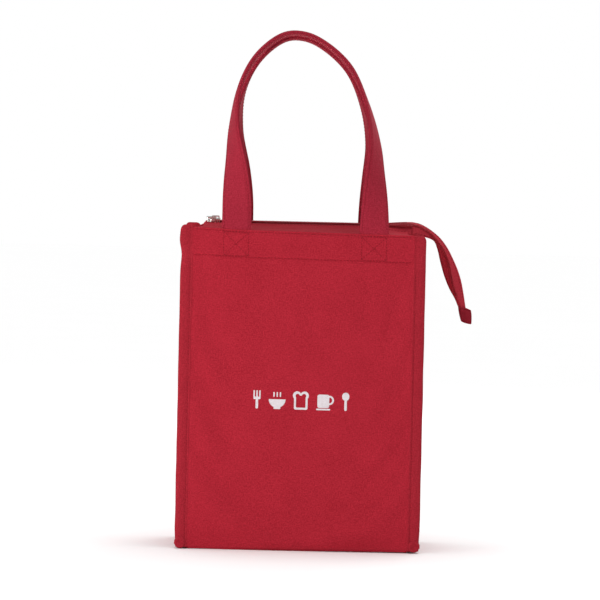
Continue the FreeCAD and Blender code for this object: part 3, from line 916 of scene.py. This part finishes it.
def strap(front):
    """A folded and topstitched canvas strap: padded between its seams, creased along its length."""
    side = "front" if front else "back"
    frames = strap_frames(0, 0) if front else strap_frames(2.8 * MM, 0.045)
    if not front:
        flip = lambda v: Vector((v.x, -v.y, v.z))
        frames = [(flip(c), flip(w), flip(t)) for c, w, t in frames]
    seed = 2.0 if front else 6.0
    last = len(frames) - 1

    def section(i):
        sewn = min(1.0, max(0.0, (min(i, last - i) - 3) / 6))
        half_t = (1.55 + 0.6 * smooth(sewn)) * MM

        def thick(w):
            seam = 0.24 * bell(abs(w) - SEAM_OUT, 0.8 * MM)
            fold = 0.10 * bell(w - 6.4 * MM, 0.7 * MM)
            crease = 0.06 * ripple(w * 330, i * 0.05, seed)
            return half_t * (0.97 - seam - fold + crease + 0.05 * math.cos(w / STRAP_WIDTH * math.pi))

        waver = 0.25 * MM * ripple(i * 0.09, seed, 5.0)
        bow = 0.35 * MM * sewn
        return flat_section(STRAP_WIDTH / 2 + waver, thick, 26, bow, squareness=9, lip=0.42, groove=0.9 * MM)

    made = swept(side + "_carrying_strap", frames, section, STRAP_RED, "strap_webbing")
    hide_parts(side + "_strap", side + "_strap_ends")
    rows = Stitches(2.3 * MM, 0.9 * MM, 0.22 * MM)
    for sign in (-1, 1):
        for edge in (-1, 1):
            run = frames[7:-7]
            line = [c + w * (edge * SEAM_OUT) + t * (sign * 1.68 * MM) for c, w, t in run]
            rows.row(line, lambda i, sign=sign: run[i][2] * sign)
    threads = rows.piece(side + "_strap_stitches")
    for piece in (made, threads):
        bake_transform(piece)


# ---------------------------------------------------------------- zipped top

ZIP_TILT = math.radians(10)
ZIP_Z = 308.0 * MM
LEFT_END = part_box("front_zip_tape")[0].x
RIGHT_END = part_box("zip_end_tape")[1].x
SLIDER_X = sum(c.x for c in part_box("slider_body")) / 2
LEAF = 7.6 * MM  # from the zip's middle to the facing's edge
FOLD_Z = TOP - 0.7 * MM  # height of the facing's fold at the hem


def zip_point(x, y, z):
    """A point of the zip's own frame. Towards the right end its front leaf folds down over the hem."""
    turned = smooth((x - 64 * MM) / (38 * MM))
    lean = ZIP_TILT + math.radians(58 if y < 0 else 8) * turned
    left_end = 2.0 * MM * smooth((-91 * MM - x) / (6 * MM))
    high = ZIP_Z + 1.0 * MM * turned - left_end + y * math.sin(lean) + z * math.cos(lean)
    return Vector((x, y * math.cos(lean) - z * math.sin(lean) - 0.3 * MM * turned, high))


def leaf_edge(x):
    """Where a tape's inner edge runs: closed right of the slider, parted left of it."""
    return (0.3 + 1.7 * smooth((SLIDER_X - 1 * MM - x) / (6 * MM))) * MM


def tape_edge(x):
    """Where a tape's outer edge runs: under the facing, and bare towards the tail."""
    return LEAF + (1.0 + 1.8 * smooth((x - 76 * MM) / (26 * MM))) * MM


def facing_rows(side):
    """The facing's upper face, from its fold at the hem to the turned edge beside the zip."""
    rows = []
    steps, columns = 24, 110
    wall = "front" if side < 0 else "back"
    for i in range(steps + 1):
        share = i / steps
        bow = 2.8 * smooth((share - 0.6) / 0.4) - 3.8 * math.sin(math.pi * min(1, share * 1.15))
        left = (bow - 97.4) * MM
        right = (100.0 - 1.2 * share) * MM
        free = math.sin(math.pi * share)
        row = []
        for k in range(columns + 1):
            x = left + (right - left) * (0.5 - 0.5 * math.cos(math.pi * k / columns))
            tip = zip_point(x, side * (LEAF - 0.4 * MM), 0.9 * MM)
            root = on_wall(wall, x * -side / HALF_W, FOLD_Z, HEM_IN + 0.9 * MM, relief=False)
            point = Vector((x, root.y, root.z)).lerp(tip, share)
            point.z += (-1.0 + 0.9 * ripple(x * 26, share * 2, 4.0 + side)) * MM * free
            point.z += 0.35 * MM * smooth((share - 0.86) / 0.05)
            point.z -= 0.25 * MM * bell(share - 0.93, 0.012)
            right_end = smooth((x - right + 9 * MM) / (9 * MM)) * (1 - smooth((share - 0.7) / 0.2))
            point.z -= max(0.0, point.z - FOLD_Z - 0.6 * MM) * right_end
            point.z -= 0.4 * MM * smooth((left + 7 * MM - x) / (7 * MM)) * free
            row.append(point)
        rows.append(row)
    return rows


def facing(name, side):
    """The strip of canvas between one hem and the zip, topstitched along the zip."""
    rows = facing_rows(side)
    if side > 0:
        rows = [row[::-1] for row in rows]
    cloth = ply(name + "_top_facing", rows, CLOTH * 0.9, CANVAS_RED, "canvas", edge=0.5)
    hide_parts(name + "_zip_facing", name + "_end_facing")
    width = sum((b[55] - a[55]).length for a, b in zip(rows, rows[1:]))
    length = (rows[12][-1] - rows[12][0]).length
    topstitch = Stitches(2.2 * MM, 0.9 * MM, 0.24 * MM)
    line = facing_rows(side)[22]
    topstitch.row([p + UP * 0.1 * MM for p in line[4:-4]], lambda i: UP)
    threads = topstitch.piece(name + "_facing_stitches")
    for piece in (cloth, threads):
        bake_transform(piece)


def coil_line(centre, across, up, turns, thick=0.36 * MM, wide=1.35 * MM, tall=0.78 * MM):
    """A filament wound along a line: (points, faces, places). centre, across and up take a share of it."""
    steps, sides = 10, 5
    points, places = [], []
    total = turns * steps
    spots = []
    for i in range(total + 1):
        share = i / total
        angle = 2 * math.pi * i / steps
        turned = across(share) * (wide * math.cos(angle)) + up(share) * (tall * math.sin(angle))
        spots.append(centre(share) + turned)
    for i, spot in enumerate(spots):
        tangent = (spots[min(i + 1, total)] - spots[max(i - 1, 0)]).normalized()
        side = tangent.cross(UP if abs(tangent.z) < 0.9 else Vector((1, 0, 0))).normalized()
        other = tangent.cross(side)
        for k in range(sides):
            angle = 2 * math.pi * k / sides
            points.append(spot + (side * math.cos(angle) + other * math.sin(angle)) * thick)
            places.append((i * 0.3 * MM, k * 0.3 * MM))
    return points, tube_faces(total + 1, sides), places


def zip_half(name, side):
    """One side of the zip: a woven tape, and the coil that is sewn to its inner edge."""
    rows = []
    xs = [LEFT_END + (RIGHT_END - LEFT_END) * i / 130 for i in range(131)]
    for i in range(9):
        spans = [tape_edge(x) + (leaf_edge(x) - tape_edge(x)) * i / 8 for x in xs]
        rows.append([zip_point(x, side * y, 0.0) for x, y in zip(xs, spans)])
    if side > 0:
        rows = [row[::-1] for row in rows]
    tape = ply(name + "_tape", rows, 0.45 * MM, TAPE_RED, "zip_tape")
    meet = SLIDER_X - 1.8 * MM
    span = RIGHT_END - meet
    turns = round(span / (1.35 * MM))
    shift = 0.5 / turns if side > 0 else 0.0

    def direction(share, start, end):
        x = meet + span * share
        return (zip_point(x, *end) - zip_point(x, *start)).normalized()

    centre = lambda share: zip_point(meet + span * (share * (1 - shift) + shift), side * 1.45 * MM, 1.1 * MM)
    across = lambda share: direction(share, (0, 0), (side * 2 * MM, 0))
    up = lambda share: direction(share, (side * MM, 0), (side * MM, MM))
    coil = piece_from(name + "_coil", *coil_line(centre, across, up, turns), NYLON_RED, "zip_nylon")
    seam = Stitches(1.6 * MM, 0.7 * MM, 0.2 * MM)
    edge = [zip_point(x, side * 3.4 * MM, 0.15 * MM) for x in xs if x > meet]
    seam.row(edge, lambda i: UP)
    threads = seam.piece(name + "_tape_stitches")
    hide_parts(name + "_zip_tape", *(["zip_end_tape"] if side < 0 else []))
    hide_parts(name + "_zip_teeth", *(["zip_end_teeth"] if side < 0 else []))
    for piece in (tape, coil, threads):
        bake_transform(piece)


# ---------------------------------------------------------------- zip tail

# Upper edge, crest and lower edge of the tail, in millimetres: (x, y, z). The crest carries the teeth.
TAIL_OUTER = [(103.5, 11.0, 312.5), (111, 7.6, 311.0), (118, 5.2, 307.6), (124.5, 3.8, 303.2)]
TAIL_OUTER += [(131.5, 2.8, 297), (138.4, 2.4, 287.8), (144.4, 2.2, 276.4), (148.8, 2.0, 266.4)]
TAIL_OUTER += [(152, 1.8, 256.4), (154.2, 1.4, 246), (156.8, 0.8, 231)]
TAIL_CREST = [(103.5, 0.2, 309.4), (109, -0.9, 308.4), (114.9, -1.3, 306), (120.8, -1.6, 301.8)]
TAIL_CREST += [(127.7, -1.8, 294.6), (134.4, -1.9, 285.2), (139, -1.9, 274), (141.6, -1.9, 262)]
TAIL_CREST += [(144.4, -1.7, 249.6), (148.4, -1.2, 240), (153, -0.6, 231)]
TAIL_INNER = [(103.5, -5.6, 299.6), (110, -5.2, 299.0), (118, -3.2, 297.6), (124.4, -1.2, 294.6)]
TAIL_INNER += [(127.8, 0.4, 287.4), (131, 1.4, 275.4), (135.2, 1.8, 261.4), (140.3, 1.7, 249.2)]
TAIL_INNER += [(146, 1.2, 239.2), (149.6, 0.6, 231)]
FRONT = Vector((0, -1, 0))
# The corners of its end tab, in millimetres: (x, z).
TAB_CORNERS = [(148.6, 233.4), (162.3, 229.6), (162.9, 214.8), (152.2, 217.6)]


def tail():
    """The free end of the closed zip, folded like a roof along its teeth."""
    count = 90
    edges = (TAIL_OUTER, TAIL_CREST, TAIL_INNER)
    outer, crest, inner = (through([Vector(p) * MM for p in line], count) for line in edges)
    rows = []
    for i in range(count):
        row = [outer[i].lerp(crest[i], (k / 8) ** 0.9) for k in range(9)]
        row += [crest[i].lerp(inner[i], (k / 8) ** 1.1) for k in range(1, 9)]
        wave = 0.25 * MM * ripple(i * 0.12, 1.0, 7.0)
        rows.append([p + Vector((0, wave, 0)) for p in row])
    leaves = ply("zip_tail_leaves", rows, 0.9 * MM, TAPE_RED, "zip_tape", edge=0.6)
    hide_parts("zip_tail_tape")
    pieces = [leaves]
    seams = Stitches(2.0 * MM, 0.9 * MM, 0.22 * MM)
    for edge in (outer, inner):
        line = [e.lerp(c, 0.2) + FRONT * 0.25 * MM for e, c in zip(edge[2:-8], crest[2:-8])]
        seams.row(line, lambda i: FRONT)
    pieces.append(seams.piece("zip_tail_stitches"))

    def across(share):
        k = int(share * (count - 12))
        along = (crest[k + 1] - crest[k]).normalized()
        return Vector((-along.z, 0, along.x))

    for name, shift in (("zip_tail_coil_outer", 1), ("zip_tail_coil_inner", -1)):

        def spot(share, shift=shift):
            place = share * (count - 12)
            k = int(place)
            centre = crest[k].lerp(crest[k + 1], place - k)
            return centre + across(share) * (shift * 0.7 * MM) + FRONT * 0.55 * MM

        wound = coil_line(spot, across, lambda share: FRONT, 64, 0.26 * MM, 0.65 * MM, 0.45 * MM)
        pieces.append(piece_from(name, *wound, NYLON_RED, "zip_nylon"))
    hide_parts("zip_tail_teeth")
    for piece in pieces:
        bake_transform(piece)


def tail_tab():
    """A scrap of canvas folded round the end of the tail and sewn: a flat pillow with a fold line."""
    corners = [Vector((x, 0, z)) * MM for x, z in TAB_CORNERS]
    steps = 22
    points, places = [], []
    for sign in (-1, 1):
        for i in range(steps + 1):
            for j in range(steps + 1):
                a = math.sin(math.pi / 2 * (2 * i / steps - 1))
                b = math.sin(math.pi / 2 * (2 * j / steps - 1))
                soft = 1 - 0.10 * (a * a) * (b * b)
                a, b = a * soft, b * soft
                upper, lower = (p.lerp(q, (a + 1) / 2) for p, q in (corners[:2], corners[:1:-1]))
                place = upper.lerp(lower, (b + 1) / 2)
                full = (max(0.0, 1 - a**6) * max(0.0, 1 - b**6)) ** 0.5
                seam = 0.30 * bell(max(abs(a), abs(b)) - 0.74, 0.05)
                fold = 0.16 * bell(a + 0.25 + 0.3 * b, 0.07)
                lump = 0.08 * ripple(a * 2, b * 2, 3.3)
                thick = 2.35 * MM * (full * (0.92 - seam - fold + lump) + 0.06)
                points.append(place + Vector((0, sign * thick, 0)))
                places.append((a * 7 * MM + (20 * MM if sign > 0 else 0), b * 8 * MM))
    faces = closed_sheet_faces(steps + 1, steps + 1)
    # the tab's darker canvas is painted shade, not a different dye
    tab = piece_from("zip_tail_end_tab", points, faces, places, SHADED_TAB_RED, "canvas")
    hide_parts("zip_tail_tab")
    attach(tab, "zip_tail")
    rows = Stitches(1.9 * MM, 0.8 * MM, 0.22 * MM)
    middle = sum(corners, Vector()) / 4
    for sign in (-1, 1):
        outward = Vector((0, sign, 0))
        path = [middle.lerp(c, 0.74) + outward * 1.65 * MM for c in corners]
        for a, b in zip(path, path[1:] + path[:1]):
            rows.row([a.lerp(b, 0.06 + 0.88 * k / 12) for k in range(13)], lambda i: outward)
    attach(rows.piece("zip_tail_tab_stitches"), "zip_tail")


# ---------------------------------------------------------------- print and metal


def screen_print():
    """The row of mealtime signs, laid on the front cloth wherever it swells."""
    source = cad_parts["front_print"].data
    shape = bmesh.new()
    shape.from_mesh(source)
    bmesh.ops.remove_doubles(shape, verts=shape.verts, dist=1e-6)
    for _ in range(2):
        long = [edge for edge in shape.edges if edge.calc_length() > 2.5 * MM]
        bmesh.ops.subdivide_edges(shape, edges=long, cuts=1)
    bmesh.ops.triangulate(shape, faces=[f for f in shape.faces if len(f.verts) > 4])
    data = bpy.data.meshes.new("mealtime_print")
    for vertex in shape.verts:
        proud = -HALF_D - vertex.co.y
        face = on_wall("front", vertex.co.x / HALF_W, vertex.co.z, 0.0)
        vertex.co = Vector((face.x, face.y + 0.1 * MM - proud * 1.6, face.z))
    shape.to_mesh(data)
    shape.free()
    while data.uv_layers:
        data.uv_layers.remove(data.uv_layers[0])
    layer = data.uv_layers.new(name="cloth")
    for loop in data.loops:
        co = data.vertices[loop.vertex_index].co
        layer.data[loop.index].uv = (co.x, co.z)
    data.materials.clear()
    data.materials.append(INK_WHITE)
    made = bpy.data.objects.new("mealtime_print", data)
    scene.collection.objects.link(made)
    sewn_in(made, "front_print")


def metal():
    """The cast slider, its crown, the pull tab and the stops keep their CAD shape, with softened edges."""
    for name in ("slider_body", "slider_crown", "pull_tab", "front_top_stop", "back_top_stop"):
        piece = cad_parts[name]
        piece.data.materials.clear()
        piece.data.materials.append(NICKEL)
        soften = piece.modifiers.new("worn_edges", "BEVEL")
        soften.width = 0.12 * MM
        soften.segments = 2
        soften.limit_method = "ANGLE"
        soften.harden_normals = True


# ---------------------------------------------------------------- studio


def pale_floor():
    """A wide pale floor."""
    pale = Finish("pale_paper", specular_ior_level=0.1)
    spot = pale.solid_place()
    pale.finish(pale.shades(pale.cloud(spot, 3.0), (0.94, 0.94, 0.94), (0.96, 0.96, 0.96)), 0.9)
    rings, turns = (0.5, 2.0, 8.0, 30.0), 48
    points = [Vector((0, 0, 0))]
    for reach in rings:
        points += [Vector((reach * math.cos(a), reach * math.sin(a), 0)) for a in spokes(turns)]
    faces = [(0, 1 + k, 1 + (k + 1) % turns) for k in range(turns)]
    faces += grid_faces(len(rings), turns, 1, wrap=True)
    piece_from("pale_floor", points, faces, [(p.x, p.y) for p in points], pale.material)


def spokes(count):
    """Angles all the way round."""
    return [2 * math.pi * k / count for k in range(count)]


def lamp(name, place, aim, size, power):
    """A soft rectangular lamp, not seen itself."""
    light = bpy.data.lights.new(name, "AREA")
    light.shape = "RECTANGLE"
    light.size, light.size_y = size
    light.energy = power
    holder = bpy.data.objects.new(name, light)
    holder.location = place
    holder.visible_camera = False
    holder.rotation_mode = "QUATERNION"
    holder.rotation_quaternion = (Vector(aim) - Vector(place)).to_track_quat("-Z", "Y")
    scene.collection.objects.link(holder)


def studio():
    """Soft light from all round, a key lamp low at the left, and a white backdrop behind it all."""
    pale_floor()
    world = bpy.data.worlds.new("studio_air")
    world.use_nodes = True
    tree = world.node_tree
    air = tree.nodes["Background"]
    air.inputs[0].default_value = (1, 1, 1, 1)
    air.inputs[1].default_value = 0.45
    backdrop = tree.nodes.new("ShaderNodeBackground")
    seen = tree.nodes.new("ShaderNodeLightPath")
    mixed = tree.nodes.new("ShaderNodeMixShader")
    tree.links.new(seen.outputs["Is Camera Ray"], mixed.inputs[0])
    tree.links.new(air.outputs[0], mixed.inputs[1])
    tree.links.new(backdrop.outputs[0], mixed.inputs[2])
    tree.links.new(mixed.outputs[0], tree.nodes["World Output"].inputs[0])
    backdrop.inputs[0].default_value = (1, 1, 1, 1)
    scene.world = world
    middle = (0, 0, 0.22)
    lamp("left_softbox", (-0.75, -0.8, 0.05), (-0.04, 0, 0.12), (0.35, 0.3), 6.5)
    lamp("right_fill", (1.9, -1.7, 0.9), middle, (1.4, 1.4), 2)
    lamp("back_softbox", (1.2, 2.2, 1.0), middle, (1.4, 1.4), 14)
    overhead = bpy.data.lights.new("overhead", "SUN")
    overhead.energy = 1.95
    overhead.angle = math.radians(50)
    scene.collection.objects.link(bpy.data.objects.new("overhead", overhead))
    scene.view_settings.view_transform = "Standard"


def camera():
    """A long lens almost level with the bag, rolled a little."""
    distance, tilt, roll = 3.0, math.radians(1.5), math.radians(1.3)
    seen_width = 0.564
    aim = Vector((-2.2 * MM, -HALF_D, 236.6 * MM))
    forward = Vector((0, math.cos(tilt), -math.sin(tilt)))
    data = bpy.data.cameras.new("long_lens")
    data.sensor_width = 36.0
    data.lens = 36.0 * distance / seen_width
    data.clip_start, data.clip_end = 0.1, 30
    holder = bpy.data.objects.new("long_lens", data)
    holder.location = aim - forward * distance
    holder.rotation_mode = "QUATERNION"
    holder.rotation_quaternion = Quaternion(forward, -roll) @ forward.to_track_quat("-Z", "Y")
    scene.collection.objects.link(holder)
    scene.camera = holder


camera()
studio()
walls()
base()
hem_stitches()
for is_front in (True, False):
    strap(is_front)
    for is_left in (True, False):
        upright_binding(is_front, is_left)
base_binding(True)
base_binding(False)
for half_name, half_side in (("front", -1), ("back", 1)):
    facing(half_name, half_side)
    zip_half(half_name, half_side)
tail()
tail_tab()
screen_print()
metal()
